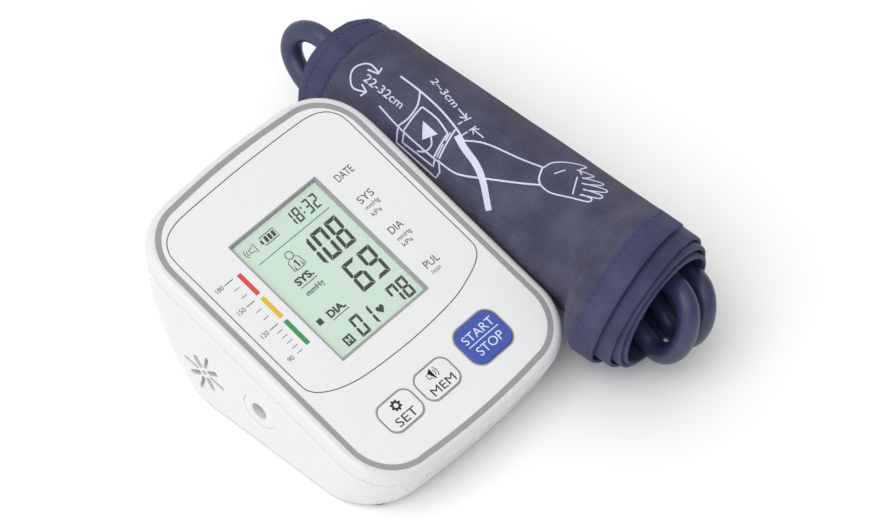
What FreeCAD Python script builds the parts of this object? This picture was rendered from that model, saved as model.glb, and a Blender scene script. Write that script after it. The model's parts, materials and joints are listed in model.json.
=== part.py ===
import FreeCAD, Part
import math
import os

V = FreeCAD.Vector

# ---------------------------------------------------------------- driving dimensions, mm
# Layout frame: x = 0, y = 0 lies below the middle of the sloping face, z = 0 is the table.
# +Y runs to the high back of the monitor and +X to its right. The finished solids are
# moved at the end, so that the bottom centre of their box is the part's origin.
FACE_TILT = 17.5            # slope of the face, degrees
FACE_MID_Z = 39.36          # height of the middle of the face
FACE_BOW = 1.3              # how far the short sides bow out
FOOT_PROUD = 0.6            # the rubber feet lift the housing this far
WALL = 2.2
RIM_ROUND = 2.8
OUTLINE_SPOTS = 40          # points that each smooth outline passes through
PART_LINE = -4.5            # split between the two housing halves, below the face
DECK_TOP = -1.2             # floor of the face recess
DECK_BOTTOM = -3.2

RING_HALF_W = 45.4
RING_HALF_L = 59.5
RING_CORNER = 18.0
RING_WIDTH = 1.9
GAP = 0.05                  # hairline between parts that are glued or clipped in
WINDOW = (-2.95, 9.65, 41.6, 54.0)          # centre u, v, width, height of the display opening
WINDOW_FRAME = 1.15
BUTTONS = {                                  # centre u, v, width, height, corner
    "start_button": (18.85, -41.6, 18.3, 14.8, 4.4),
    "mem_button": (-4.2, -42.15, 14.7, 10.8, 3.4),
    "set_button": (-21.95, -42.15, 14.7, 10.8, 3.4),
}
BEZEL = 0.5                 # grey surround of each button
BUTTON_CLEAR = 0.15
BUTTON_PROUD = 0.35
PCB_TOP = -7.5
PCB_THICK = 1.6

TOWER_MID_Z = 25.0          # height of the screw towers' joint, at y = 0

JACK = (-2.2, 19.1)         # y, z of the air jack on the left wall
JACK_BORE_R = 3.2
JACK_DEPTH = 9.6
VENT = (22.8, 18.0)         # y, z of the speaker holes

CELL_R = 7.1                # AA cell
CELL_PITCH = 14.7
BAY = (-31.0, 31.0, -27.5, 28.5, 18.6)       # battery bay x, x, y, y, height of its roof
DOOR = (-31.5, 31.5, -28.0, 29.0)            # battery cover
DOOR_THICK = 2.0

ROLL_X = 74.3               # axis of the rolled cuff
ROLL_R = 24.6
ROLL_Z = 24.6
LAYER = 1.8                 # cloth, bladder and cloth together
PITCH = 2.0                 # from one turn to the next
SKIN = 0.5                  # each cloth layer
HEM = 11.0                  # width of the bound edges
CUFF_FRONT = [-67.0, -72.0, -74.0, -75.5, -76.0]     # front edge of each turn, outermost first
CUFF_BACK = [66.0, 75.0, 77.0, 78.5, 79.0]

HOSE_R = 3.8
HOSE_BORE_R = 1.9
# The hose's centre line, from its port in the cuff to its plug: a loop out of the front of
# the roll, one out of the back, a second one out of the front, and back into the roll.
HOSE = [
    (70.0, -50.0, 35.6), (70.3, -64.0, 35.9), (71.2, -80.6, 36.5), (70.8, -89.0, 30.4),
    (68.4, -89.6, 20.6), (66.2, -82.4, 14.2), (66.4, -68.0, 15.4), (66.7, -46.0, 15.9),
    (66.1, -16.0, 15.5), (66.9, 14.0, 16.1), (66.2, 42.0, 15.6), (66.6, 60.0, 15.9),
    (66.8, 75.0, 15.3), (67.3, 86.6, 15.1), (68.5, 94.0, 20.8), (70.5, 94.4, 30.4),
    (71.6, 87.0, 36.2), (71.4, 74.0, 34.8), (71.9, 54.0, 34.3), (71.2, 30.0, 34.8),
    (73.4, 2.0, 33.2), (77.8, -22.0, 30.8), (80.2, -42.0, 29.0), (80.2, -56.0, 28.8),
    (80.7, -69.0, 29.4), (82.8, -79.2, 32.0), (84.6, -87.4, 30.6), (85.0, -91.2, 24.6),
    (84.0, -90.0, 17.6), (82.0, -83.4, 13.6), (80.2, -71.6, 15.0), (80.4, -54.0, 15.6),
    (79.9, -30.0, 15.2), (80.3, -6.0, 15.7), (79.8, 16.0, 15.6), (79.4, 34.0, 16.8),
    (78.4, 46.0, 18.2),
]
PLUG_LEN = 17.5
RING_ROD_R = 1.1            # the cuff's metal slide ring
RING_ENDS = (-66.0, 66.0)

TILT = math.radians(FACE_TILT)
nodes = {}


# ---------------------------------------------------------------- small helpers
def box(x0, x1, y0, y1, z0, z1):
    return Part.makeBox(x1 - x0, y1 - y0, z1 - z0, V(x0, y0, z0))


def rod(radius, start, end):
    axis = end - start
    return Part.makeCylinder(radius, axis.Length, start, axis)


def on_face(shape):
    """Move a shape drawn in face coordinates (u, v, h) into the layout frame."""
    placed = shape.copy()
    placed.rotate(V(0, 0, 0), V(1, 0, 0), FACE_TILT)
    placed.translate(V(0, 0, FACE_MID_Z))
    return placed


def rounded_wire(half_w, y0, y1, corner, bow=0.0, z=0.0):
    """Closed outline with round corners, whose two short sides bow out by bow."""
    w = half_w
    c = corner
    k = corner * (1.0 - math.sqrt(0.5))
    spots = [V(w, y0 + c, z), V(w, y1 - c, z), V(w - c, y1, z), V(c - w, y1, z),
             V(-w, y1 - c, z), V(-w, y0 + c, z), V(c - w, y0, z), V(w - c, y0, z)]
    mids = [None, V(w - k, y1 - k, z), V(0, y1 + bow, z), V(k - w, y1 - k, z),
            None, V(k - w, y0 + k, z), V(0, y0 - bow, z), V(w - k, y0 + k, z)]
    edges = []
    for i in range(8):
        a = spots[i]
        b = spots[(i + 1) % 8]
        if mids[i] is None or (bow == 0.0 and i in (2, 6)):
            edges.append(Part.LineSegment(a, b).toShape())
        else:
            edges.append(Part.Arc(a, mids[i], b).toShape())
    return Part.Wire(edges)


def plate(half_w, y0, y1, corner, z0, z1, bow=0.0, x=0.0):
    """Flat plate with the rounded outline, from z0 up to z1."""
    face = Part.Face(rounded_wire(half_w, y0, y1, corner, bow, z0))
    solid = face.extrude(V(0, 0, z1 - z0))
    solid.translate(V(x, 0, 0))
    return solid


def pad(u, v, w, h, corner, z0, z1):
    """Rounded rectangle centred at u, v."""
    return plate(w / 2.0, v - h / 2.0, v + h / 2.0, corner, z0, z1, 0.0, u)


def fuse(shapes):
    whole = shapes[0].multiFuse(shapes[1:]) if len(shapes) > 1 else shapes[0]
    return whole.removeSplitter()


def group(shapes):
    return Part.makeCompound(shapes)


def tube_path(points):
    """Straight runs joined by tangent arcs; returns the wire and the arcs' radii."""
    pts = [V(*p) for p in points]
    edges = []
    radii = []
    start = pts[0]
    for i in range(1, len(pts) - 1):
        before = pts[i] - pts[i - 1]
        after = pts[i + 1] - pts[i]
        turn = before.getAngle(after)
        shorter = min(before.Length, after.Length)
        cut = 0.45 * shorter
        radii.append(cut / math.tan(turn / 2.0))
        d0 = V(before).normalize()
        d1 = V(after).normalize()
        a = pts[i] - d0 * cut
        b = pts[i] + d1 * cut
        inward = V(d1 - d0).normalize()
        reach = radii[-1] / math.cos(turn / 2.0) - radii[-1]
        edges.append(Part.LineSegment(start, a).toShape())
        edges.append(Part.Arc(a, pts[i] + inward * reach, b).toShape())
        start = b
    edges.append(Part.LineSegment(start, pts[-1]).toShape())
    return Part.Wire(edges), radii


def tube(points, radius, bore=0.0):
    wire, radii = tube_path(points)
    first = V(*points[0])
    axis = V(*points[1]) - first
    ring = Part.Wire([Part.Circle(first, axis, radius).toShape()])
    solid = wire.makePipeShell([ring], True, False)
    if bore:
        inner = Part.Wire([Part.Circle(first, axis, bore).toShape()])
        solid = solid.cut(wire.makePipeShell([inner], True, False))
    return solid, wire.Length, radii


# ---------------------------------------------------------------- monitor body
# Front and back of the housing at each level: y and z of the front wall, y and z of the
# back wall, half width and corner radius. Each level is a flat cut that fans from level
# at the base to the slope of the face.
LEVELS = [
    (-49.6, 0.6, 38.4, 0.6, 47.6, 19.0),
    (-53.0, 2.6, 43.4, 3.6, 48.7, 20.4),
    (-55.6, 8.0, 49.6, 11.0, 49.0, 21.0),
    (-57.6, 13.6, 55.2, 23.6, 49.0, 21.0),
    (-59.2, 17.8, 59.0, 40.0, 49.0, 21.0),
    (-60.08, 20.42, 60.08, 58.30, 49.0, 21.0),
]


def level_wire(level, inset):
    yf, zf, yb, zb, half_w, corner = level
    length = math.hypot(yb - yf, zb - zf)
    slope = math.degrees(math.atan2(zb - zf, yb - yf))
    wire = rounded_wire(half_w - inset, inset, length - inset, corner - inset, FACE_BOW)
    spots = wire.discretize(Number=OUTLINE_SPOTS + 1)[:-1]
    curve = Part.BSplineCurve()
    curve.interpolate(Points=spots, PeriodicFlag=True)
    ring = Part.Wire([curve.toShape()])
    ring.rotate(V(0, 0, 0), V(1, 0, 0), slope)
    ring.translate(V(0, yf, zf))
    return ring


def body_loft(inset):
    return Part.makeLoft([level_wire(level, inset) for level in LEVELS], True, False)


def slab(h0, h1):
    """Everything between two heights above the sloping face."""
    return on_face(box(-90, 90, -120, 120, h0, h1))


def rounded_body():
    """Outer form of the monitor, with its rim and its base edge rounded."""
    solid = body_loft(0.0)
    flats = [f for f in solid.Faces if f.Surface.TypeId == "Part::GeomPlane"]
    flats.sort(key=lambda f: f.CenterOfMass.z)
    solid = solid.makeFillet(RIM_ROUND, flats[-1].Edges)
    return solid


def tower_spots():
    """x, y of the four screw towers, and the height where their two halves meet."""
    spots = [(38.5, -33.5), (-38.5, -33.5), (38.5, 27.0), (-38.5, 27.0)]
    return [(x, y, TOWER_MID_Z + y * math.tan(TILT)) for x, y in spots]


def deck_cut():
    """Openings in the upper housing's deck, in face coordinates."""
    u, v, w, h = WINDOW
    cuts = [box(u - w / 2 + 0.1, u + w / 2 - 0.1, v - h / 2 + 0.1, v + h / 2 - 0.1, -8, 2)]
    for bu, bv, bw, bh, bc in BUTTONS.values():
        cuts.append(pad(bu, bv, bw + 2 * BUTTON_CLEAR, bh + 2 * BUTTON_CLEAR, bc, -8, 2))
    return cuts


def face_recess():
    return plate(RING_HALF_W + GAP, -RING_HALF_L - GAP, RING_HALF_L + GAP, RING_CORNER,
                 DECK_TOP, 3.0, FACE_BOW)


def housings():
    outer = rounded_body()
    hollow = body_loft(WALL).common(slab(-200, DECK_BOTTOM))
    hollow = hollow.cut(box(-90, 90, -90, 90, -5, FOOT_PROUD + WALL))
    shell = Part.makeSolid(group([outer.Shells[0], hollow.Shells[0].reversed()]))
    groove = body_loft(-1.0).cut(body_loft(0.28)).common(slab(PART_LINE - 0.3, PART_LINE))
    upper = shell.common(slab(PART_LINE, 20))
    upper = upper.cut(on_face(group([face_recess()] + deck_cut())))
    bosses = []
    for x, y, top in tower_spots():
        stem = rod(3.3, V(x, y, top + GAP), V(x, y, top + 30.0))
        stem = stem.common(slab(-60, DECK_BOTTOM + 0.5))
        bosses.append(stem.cut(rod(1.25, V(x, y, top - 1.0), V(x, y, top + 7.5))))
    upper = fuse([upper] + bosses)

    lower = shell.common(slab(-200, PART_LINE)).cut(groove)
    x0, x1, y0, y1, roof = BAY
    walls = box(x0 - 1.6, x1 + 1.6, y0 - 1.6, y1 + 1.6, FOOT_PROUD + 1.0, roof + 1.6)
    towers = []
    for x, y, top in tower_spots():
        towers.append(rod(4.3, V(x, y, FOOT_PROUD + 1.0), V(x, y, top)))
    jack_boss = rod(7.6, V(-47.6, JACK[0], JACK[1]), V(-44.6, JACK[0], JACK[1]))
    lower = fuse([lower, walls, jack_boss] + towers)
    cuts = [box(x0, x1, y0, y1, -2, roof)]
    dx0, dx1, dy0, dy1 = DOOR
    cuts.append(box(dx0 - 0.4, dx1 + 0.4, dy0 - 0.4, dy1 + 0.4, -2, FOOT_PROUD + DOOR_THICK))
    for x, y, top in tower_spots():
        cuts.append(rod(1.7, V(x, y, -2), V(x, y, top + 1)))
        cuts.append(rod(3.1, V(x, y, -2), V(x, y, top - 5.0)))
    for x, y in foot_spots():
        cuts.append(rod(4.6, V(x, y, -2), V(x, y, FOOT_PROUD + 0.8)))
    y, z = JACK
    cuts.append(rod(7.0, V(-60, y, z), V(-48.3, y, z)))
    cuts.append(rod(4.9, V(-60, y, z), V(-40, y, z)))
    cuts.extend(vent_holes())
    cuts.append(rod(3.0, V(-8, DOOR[3] + 2.4, -1.2), V(8, DOOR[3] + 2.4, -1.2)))
    for x in (-20.0, 20.0):
        cuts.append(box(x - 4.4, x + 4.4, DOOR[2] - 2.0, DOOR[2] + 0.6, 1.0, 4.0))
    lower = lower.cut(group(cuts))
    return upper, lower


def vent_holes():
    """A burst of eight slots round one hole, through the left wall."""
    y, z = VENT
    holes = [rod(1.0, V(-55, y, z), V(-40, y, z))]
    for i in range(8):
        angle = math.radians(45.0 * i + 10.0)
        reach = (3.2, 8.4) if i % 2 == 0 else (3.0, 6.4)
        wide = 0.75 if i % 2 == 0 else 1.05
        ends = [V(-55, y + r * math.cos(angle), z + r * math.sin(angle)) for r in reach]
        along = V(15, 0, 0)
        slot = rod(wide, ends[0], ends[0] + along).fuse(rod(wide, ends[1], ends[1] + along))
        bar = box(-55, -40, y + reach[0], y + reach[1], z - wide, z + wide)
        bar.rotate(V(-50, y, z), V(1, 0, 0), math.degrees(angle))
        holes.append(slot.fuse(bar))
    return holes


def foot_spots():
    return [(37.0, -44.0), (-37.0, -44.0), (30.5, 33.6), (-30.5, 33.6)]


def rubber_feet():
    return group([rod(4.5, V(x, y, 0.0), V(x, y, FOOT_PROUD + 0.8)) for x, y in foot_spots()])


def screws():
    parts = []
    for x, y, top in tower_spots():
        head = rod(2.7, V(x, y, top - 7.2), V(x, y, top - 5.0))
        slot = box(x - 2.0, x + 2.0, y - 0.35, y + 0.35, top - 7.3, top - 6.2)
        cross = box(x - 0.35, x + 0.35, y - 2.0, y + 2.0, top - 7.3, top - 6.2)
        shank = rod(1.2, V(x, y, top - 5.0), V(x, y, top + 6.0))
        parts.append(head.fuse(shank).cut(slot).cut(cross).removeSplitter())
    return group(parts)


# ---------------------------------------------------------------- face of the monitor
def trim_ring():
    outer = plate(RING_HALF_W, -RING_HALF_L, RING_HALF_L, RING_CORNER, DECK_TOP, 0.1, FACE_BOW)
    w = RING_WIDTH
    inner = plate(RING_HALF_W - w, w - RING_HALF_L, RING_HALF_L - w, RING_CORNER - w,
                  DECK_TOP - 1, 2, FACE_BOW)
    return outer.cut(inner)


def faceplate():
    w = RING_WIDTH + GAP
    solid = plate(RING_HALF_W - w, w - RING_HALF_L, RING_HALF_L - w, RING_CORNER - w,
                  DECK_TOP, 0.0, FACE_BOW)
    u, v, ww, wh = WINDOW
    cuts = [box(u - ww / 2, u + ww / 2, v - wh / 2, v + wh / 2, -3, 2)]
    for bu, bv, bw, bh, bc in BUTTONS.values():
        grow = 2 * (BEZEL + BUTTON_CLEAR + GAP)
        cuts.append(pad(bu, bv, bw + grow, bh + grow, bc + grow / 2, -3, 2))
    return solid.cut(group(cuts))


def window_frame():
    """Grey frame round the display, whose inner side slopes down to the glass."""
    u, v, w, h = WINDOW
    t = WINDOW_FRAME
    outer = box(u - w / 2 + GAP, u + w / 2 - GAP, v - h / 2 + GAP, v + h / 2 - GAP, DECK_TOP, -0.02)
    low = rect_wire(u, v, w - 2 * t, h - 2 * t, DECK_TOP)
    high = rect_wire(u, v, w - 0.5, h - 0.5, 0.4)
    return outer.cut(Part.makeLoft([low, high], True, True))


def rect_wire(u, v, w, h, z):
    a = w / 2.0
    b = h / 2.0
    return Part.makePolygon([V(u - a, v - b, z), V(u + a, v - b, z), V(u + a, v + b, z),
                             V(u - a, v + b, z), V(u - a, v - b, z)])


def display_parts():
    u, v, w, h = WINDOW
    inset = WINDOW_FRAME + GAP
    a = w / 2 - inset
    b = h / 2 - inset
    lens = box(u - a, u + a, v - b, v + b, DECK_TOP, DECK_TOP + 0.6)
    glass = box(u - w / 2 + 0.4, u + w / 2 - 0.4, v - h / 2 + 0.4, v + h / 2 - 0.4, -3.6, DECK_TOP - 0.1)
    holder = box(u - 20.0, u + 20.0, v - 23.0, v + 23.0, PCB_TOP, -3.6)
    holder = holder.cut(box(u - 18.0, u + 18.0, v - 21.0, v + 21.0, PCB_TOP + 1.2, -3.0))
    strips = [box(u - 18.5, u + 18.5, v + s * 25.0 - 1.0, v + s * 25.0 + 1.0, PCB_TOP, -3.6) for s in (-1, 1)]
    return lens, glass, holder, group(strips)


def button_bezels():
    rings = []
    for u, v, w, h, c in BUTTONS.values():
        k = 2 * BUTTON_CLEAR
        grow = k + 2 * BEZEL
        ring = pad(u, v, w + grow, h + grow, c + grow / 2, DECK_TOP, 0.06)
        rings.append(ring.cut(pad(u, v, w + k, h + k, c + k / 2, -3, 2)))
    return group(rings)


def button(name):
    u, v, w, h, c = BUTTONS[name]
    cap = pad(u, v, w, h, c, DECK_BOTTOM - 0.1, BUTTON_PROUD)
    top_edges = [e for e in cap.Edges if all(abs(p.Z - BUTTON_PROUD) < 1e-6 for p in e.Vertexes)]
    cap = cap.makeFillet(0.3, top_edges)
    flange = pad(u, v, w + 2.0, h + 2.0, c + 1.0, DECK_BOTTOM - 0.9, DECK_BOTTOM - 0.1)
    stem = Part.makeCylinder(1.6, 1.9, V(u, v, -6.0))
    return fuse([cap, flange, stem])


def key_switches():
    parts = []
    for button in BUTTONS.values():
        u, v = button[:2]
        body = box(u - 3, u + 3, v - 3, v + 3, PCB_TOP, -6.75)
        parts.append(body.fuse(Part.makeCylinder(1.2, 0.12, V(u, v, -6.77))).removeSplitter())
    return group(parts)


def main_board():
    board = plate(32.5, -54.0, 44.0, 3.0, PCB_TOP - PCB_THICK, PCB_TOP)
    return board.cut(group([Part.makeCylinder(1.6, 10, V(x, y, -12)) for x in (-29, 29) for y in (-50, 40)]))


def board_parts():
    """Chips and the pressure sensor, on the underside of the board, clear of the bay."""
    low = PCB_TOP - PCB_THICK
    chip = box(-27, -15, -46, -34, low - 1.4, low)
    driver = box(16, 22, -44, -38, low - 1.4, low)
    sensor = box(-7, 3, -50, -41, low - 2.4, low)
    nose = Part.makeCylinder(1.4, 2.6, V(-2, -45.5, low - 5.0))
    return group([chip, driver]), sensor.fuse(nose).removeSplitter()


# ---------------------------------------------------------------- air system
PUMP_Y = 41.2
PUMP_Z = 29.0
PUMP_R = 12.0


def pump_parts():
    y = PUMP_Y
    z = PUMP_Z
    can = rod(PUMP_R, V(-4, y, z), V(26, y, z)).cut(rod(PUMP_R - 1.0, V(-3, y, z), V(25, y, z)))
    can = can.cut(rod(1.05, V(-5, y, z), V(-2.5, y, z)))
    rotor = rod(9.0, V(1, y, z), V(21, y, z)).fuse(rod(1.0, V(-14.6, y, z), V(24.6, y, z)))
    cam = rod(4.5, V(-14.0, y + 1.6, z), V(-9.0, y + 1.6, z)).cut(rod(1.0, V(-15, y, z), V(-8, y, z)))
    head = rod(PUMP_R, V(-28, y, z), V(-4.05, y, z)).cut(rod(9.2, V(-19.5, y, z), V(-4.0, y, z)))
    head = head.fuse(rod(2.2, V(-33.5, y, z), V(-28, y, z)))
    head = head.cut(rod(1.1, V(-34, y, z), V(-24, y, z))).removeSplitter()
    diaphragm = rod(8.9, V(-19.4, y, z), V(-17.8, y, z)).fuse(rod(2.4, V(-17.8, y, z), V(-15.0, y, z)))
    return can, rotor.removeSplitter(), cam.removeSplitter(), head, diaphragm.removeSplitter()


VALVE = (32.0, 41.5, 22.0)


def valve_parts():
    x, y, z = VALVE
    body = box(x - 4.6, x + 4.3, y - 7, y + 6.7, z - 7, z + 7)
    body = body.cut(rod(2.6, V(x, y - 8, z), V(x, y + 5.0, z)))
    plunger = rod(2.5, V(x, y - 9.4, z), V(x, y + 3.8, z))
    return body, plunger


def air_lines():
    """Silicone lines from the jack to the tee on the pump, and from the tee to the valve."""
    y, z = JACK
    tee = box(-38.5, -33.6, 38.5, 44.0, 26.0, 32.0)
    jack_line = [(-36.5, y, z), (-35.0, y + 0.3, z + 0.3), (-34.4, 1.0, 21.6), (-33.2, 6.0, 24.4),
                 (-31.6, 14.0, 25.4), (-31.2, 22.0, 25.9), (-31.4, 28.4, 26.7), (-35.3, 33.6, 27.8),
                 (-35.9, 38.15, 28.0)]
    valve_line = [(-36.0, 41.0, 25.85), (-35.8, 41.1, 20.5), (-33.2, 41.4, 15.2), (-27.0, 42.0, 12.4),
                  (-14.0, 42.4, 11.9), (4.0, 41.9, 12.2), (19.0, 42.3, 11.7), (27.2, 41.8, 11.2),
                  (31.7, 41.6, 12.0), (32.0, 41.5, 14.75)]
    return group([tube(jack_line, 1.8)[0], tube(valve_line, 1.8)[0]]), tee


# ---------------------------------------------------------------- side fittings and bottom
def jack_socket():
    y, z = JACK
    flange = rod(6.9, V(-48.9, y, z), V(-48.35, y, z))
    barrel = rod(4.8, V(-48.35, y, z), V(-38.0, y, z))
    tail = rod(2.9, V(-38.0, y, z), V(-36.5, y, z))
    solid = fuse([flange, barrel, tail])
    return solid.cut(rod(JACK_BORE_R, V(-50, y, z), V(-48.9 + JACK_DEPTH, y, z)))


def speaker():
    y, z = VENT
    frame = rod(9.2, V(-46.3, y, z), V(-44.6, y, z))
    cup = rod(8.2, V(-47.0, y, z), V(-45.6, y, z))
    magnet = rod(5.5, V(-44.6, y, z), V(-43.15, y, z))
    return frame.cut(cup).fuse(magnet).removeSplitter()


def battery_door():
    x0, x1, y0, y1 = DOOR
    half = (DOOR_THICK - 0.4) / 2
    pivot_z = FOOT_PROUD + half
    solid = box(x0, x1, y0 + half, y1, FOOT_PROUD, FOOT_PROUD + 2 * half)
    solid = solid.fuse(rod(half, V(x0, y0 + half, pivot_z), V(x1, y0 + half, pivot_z)))
    ribs = [box(x, x + 1.2, y0 + 6, y1 - 6, 2.0, 2.7) for x in (-22.6, -7.95, 6.75, 21.4)]
    grips = [box(-9 + 0.6 * i, 9 - 0.6 * i, y1 - 6 - 2.2 * i, y1 - 5.2 - 2.2 * i, 0, FOOT_PROUD + 0.5)
             for i in range(4)]
    tabs = [box(x - 4.0, x + 4.0, y0 - 1.4, y0 + half, 1.6, 2.2) for x in (-20.0, 20.0)]
    return fuse([solid.cut(group(grips))] + tabs + ribs)


def cells():
    parts = []
    for i in range(4):
        x = CELL_PITCH * (i - 1.5)
        z = 3.0 + CELL_R + 0.1
        way = 1 if i % 2 == 0 else -1
        mid = 0.5
        can = rod(CELL_R, V(x, mid - way * 24.4, z), V(x, mid + way * 24.4, z))
        nub = rod(2.7, V(x, mid + way * 24.4, z), V(x, mid + way * 25.4, z))
        parts.append(can.fuse(nub).removeSplitter())
    return group(parts)


def contact_plates():
    y0, y1 = BAY[2:4]
    plates = []
    for i in range(4):
        x = CELL_PITCH * (i - 1.5)
        for end in (y0, y1 - 0.5):
            plates.append(box(x - 6.0, x + 6.0, end, end + 0.5, 4.0, 17.0))
    return group(plates)


def contact_springs():
    """One conical spring at each cell's flat end: three turns, linked by their wire."""
    springs = []
    for i in range(4):
        x = CELL_PITCH * (i - 1.5)
        z = 3.0 + CELL_R + 0.1
        way = 1 if i % 2 == 0 else -1
        end = -27.0 if way == 1 else 28.0
        reach = (0.5 - way * 24.4) - end
        turns = []
        for k in range(3):
            y = end + math.copysign(0.45 + 1.1 * k, reach)
            turns.append(Part.makeTorus(3.6 - 0.4 * k, 0.35, V(x, y, z), V(0, 1, 0)))
        for k in range(2):
            side = 1 if k == 0 else -1
            low = V(x, end + math.copysign(0.45 + 1.1 * k, reach), z + side * (3.6 - 0.4 * k))
            high = V(x, end + math.copysign(1.55 + 1.1 * k, reach), z + side * (3.2 - 0.4 * k))
            turns.append(rod(0.3, low, high))
        springs.append(fuse(turns))
    return group(springs)


# ---------------------------------------------------------------- rolled cuff
# Each turn is two half circles whose centres lie half a pitch apart, so the roll is one
# smooth spiral. Angles run anticlockwise seen from the front, from the right-hand side.
HALF_TURNS = [(50, 180), (180, 360), (0, 180), (180, 360), (0, 180), (180, 360), (0, 180),
              (180, 360), (0, 20)]


def half_turn(index, a0, a1, outer_drop, thick, y0, y1):
    """Part of one half turn: a curved band, outer_drop below the roll's outside."""
    radius = ROLL_R - index * PITCH / 2.0 - outer_drop
    cx = ROLL_X - (PITCH / 2.0 if index % 2 else 0.0)
    def spot(r, a):
        return V(cx + r * math.cos(math.radians(a)), y0, ROLL_Z + r * math.sin(math.radians(a)))
    mid = (a0 + a1) / 2.0
    r_in = radius - thick
    edges = [Part.Arc(spot(radius, a0), spot(radius, mid), spot(radius, a1)).toShape(),
             Part.LineSegment(spot(radius, a1), spot(r_in, a1)).toShape(),
             Part.Arc(spot(r_in, a1), spot(r_in, mid), spot(r_in, a0)).toShape(),
             Part.LineSegment(spot(r_in, a0), spot(radius, a0)).toShape()]
    return Part.Face(Part.Wire(edges)).extrude(V(0, y1 - y0, 0))


def spiral(drop, thick, first=0, last=9, inset=0.0, start=None, stop=None):
    bands = []
    for i in range(first, last):
        a0, a1 = HALF_TURNS[i]
        a0 = start if (start is not None and i == first) else a0
        a1 = stop if (stop is not None and i == last - 1) else a1
        turn = i // 2
        bands.append(half_turn(i, a0, a1, drop, thick, CUFF_FRONT[turn] + inset, CUFF_BACK[turn] - inset))
    return fuse(bands)


def edge_band(front):
    """Bound edge between the two cloth layers, along the front or the back of the cuff."""
    bands = []
    for i, (a0, a1) in enumerate(HALF_TURNS):
        turn = i // 2
        y0 = CUFF_FRONT[turn] + 0.8 if front else CUFF_BACK[turn] - 0.8 - HEM
        bands.append(half_turn(i, a0, a1, SKIN, LAYER - 2 * SKIN, y0, y0 + HEM))
    return fuse(bands)


def ring_spots():
    """Centres of the slide ring's two long rods, seen along the roll."""
    spots = []
    for radius, angle in ((14.5, 28.0), (15.2, 78.1)):
        a = math.radians(angle)
        spots.append((ROLL_X + radius * math.cos(a), ROLL_Z + radius * math.sin(a)))
    return spots


def ring_hem():
    """Cloth sleeve at the cuff's inner end, which the slide ring hangs in."""
    x, z = ring_spots()[0]
    y0, y1 = RING_ENDS
    sleeve = rod(2.1, V(x, y0 + 4, z), V(x, y1 - 4, z))
    sleeve = sleeve.cut(rod(RING_ROD_R + 0.3, V(x, y0, z), V(x, y1, z)))
    return sleeve.cut(spiral(-0.03, LAYER + 0.06, 8, 9))


def slide_ring():
    (x0, z0), (x1, z1) = ring_spots()
    rods = []
    for x, z in ((x0, z0), (x1, z1)):
        rods.append(rod(RING_ROD_R, V(x, RING_ENDS[0], z), V(x, RING_ENDS[1], z)))
    for y in RING_ENDS:
        rods.append(rod(RING_ROD_R, V(x0, y, z0), V(x1, y, z1)))
        for x, z in ((x0, z0), (x1, z1)):
            rods.append(Part.makeSphere(RING_ROD_R, V(x, y, z)))
    return fuse(rods)


def hose_parts():
    solid, length, radii = tube(HOSE, HOSE_R)
    print("hose length %.1f mm, volume against section x length %.4f" % (
        length, solid.Volume / (math.pi * HOSE_R ** 2 * length)))
    print("hose bend radii", " ".join("%.1f" % r for r in radii))
    start = V(*HOSE[0])
    into = V(start - V(*HOSE[1])).normalize()
    port = rod(4.6, start, start + into * 12.0).cut(rod(HOSE_BORE_R, start, start + into * 13.0))
    end = V(*HOSE[-1])
    out = V(end - V(*HOSE[-2])).normalize()
    collar = rod(5.4, end, end + out * 8.0)
    tip = rod(JACK_BORE_R - 0.06, end + out * 8.0, end + out * PLUG_LEN)
    nose = rod(2.3, end + out * PLUG_LEN, end + out * (PLUG_LEN + 1.0))
    plug = fuse([collar, tip, nose]).cut(rod(1.4, end - out, end + out * (PLUG_LEN + 2.0)))
    return solid, port, plug


# ---------------------------------------------------------------- build and write
def build():
    nodes["upper_housing"], nodes["lower_housing"] = housings()
    nodes["rubber_feet"] = rubber_feet()
    nodes["housing_screws"] = screws()
    for name, shape in (("trim_ring", trim_ring()), ("faceplate", faceplate()),
                        ("window_frame", window_frame()), ("button_bezels", button_bezels()),
                        ("key_switches", key_switches()), ("main_board", main_board())):
        nodes[name] = on_face(shape)
    names = ("window_lens", "lcd_glass", "lcd_holder", "contact_strips")
    for name, shape in zip(names, display_parts()):
        nodes[name] = on_face(shape)
    for name, shape in zip(("board_chips", "pressure_sensor"), board_parts()):
        nodes[name] = on_face(shape)
    for name in BUTTONS:
        nodes[name] = on_face(button(name))
    names = ("pump_motor", "motor_rotor", "pump_cam", "pump_head", "pump_diaphragm")
    nodes.update(zip(names, pump_parts()))
    nodes["valve_body"], nodes["valve_plunger"] = valve_parts()
    nodes["air_lines"], nodes["air_tee"] = air_lines()
    nodes["air_jack"] = jack_socket()
    nodes["speaker"] = speaker()
    nodes["battery_door"] = battery_door()
    nodes["battery_cells"] = cells()
    nodes["contact_plates"] = contact_plates()
    nodes["contact_springs"] = contact_springs()

    outer = spiral(0.0, SKIN)
    nodes["loop_patch"] = spiral(0.0, SKIN, 2, 3, 8.0, 20.0, 165.0)
    nodes["cuff_cover"] = outer.cut(spiral(-0.02, SKIN + 0.04, 2, 3, 7.9, 19.5, 165.5))
    nodes["hook_patch"] = spiral(LAYER - SKIN, SKIN, 0, 1, 8.0, 50.0, 175.0)
    lining = spiral(LAYER - SKIN, SKIN)
    nodes["cuff_lining"] = lining.cut(spiral(LAYER - SKIN - 0.02, SKIN + 0.04, 0, 1, 7.9, 49.0, 175.5))
    nodes["bladder"] = spiral(SKIN, LAYER - 2 * SKIN, 3, 8, 13.5, 190.0, 340.0)
    nodes["front_hem"] = edge_band(True)
    nodes["rear_hem"] = edge_band(False)
    nodes["ring_hem"] = ring_hem()
    nodes["slide_ring"] = slide_ring()
    nodes["hose"], nodes["hose_port"], nodes["hose_plug"] = hose_parts()


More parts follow.
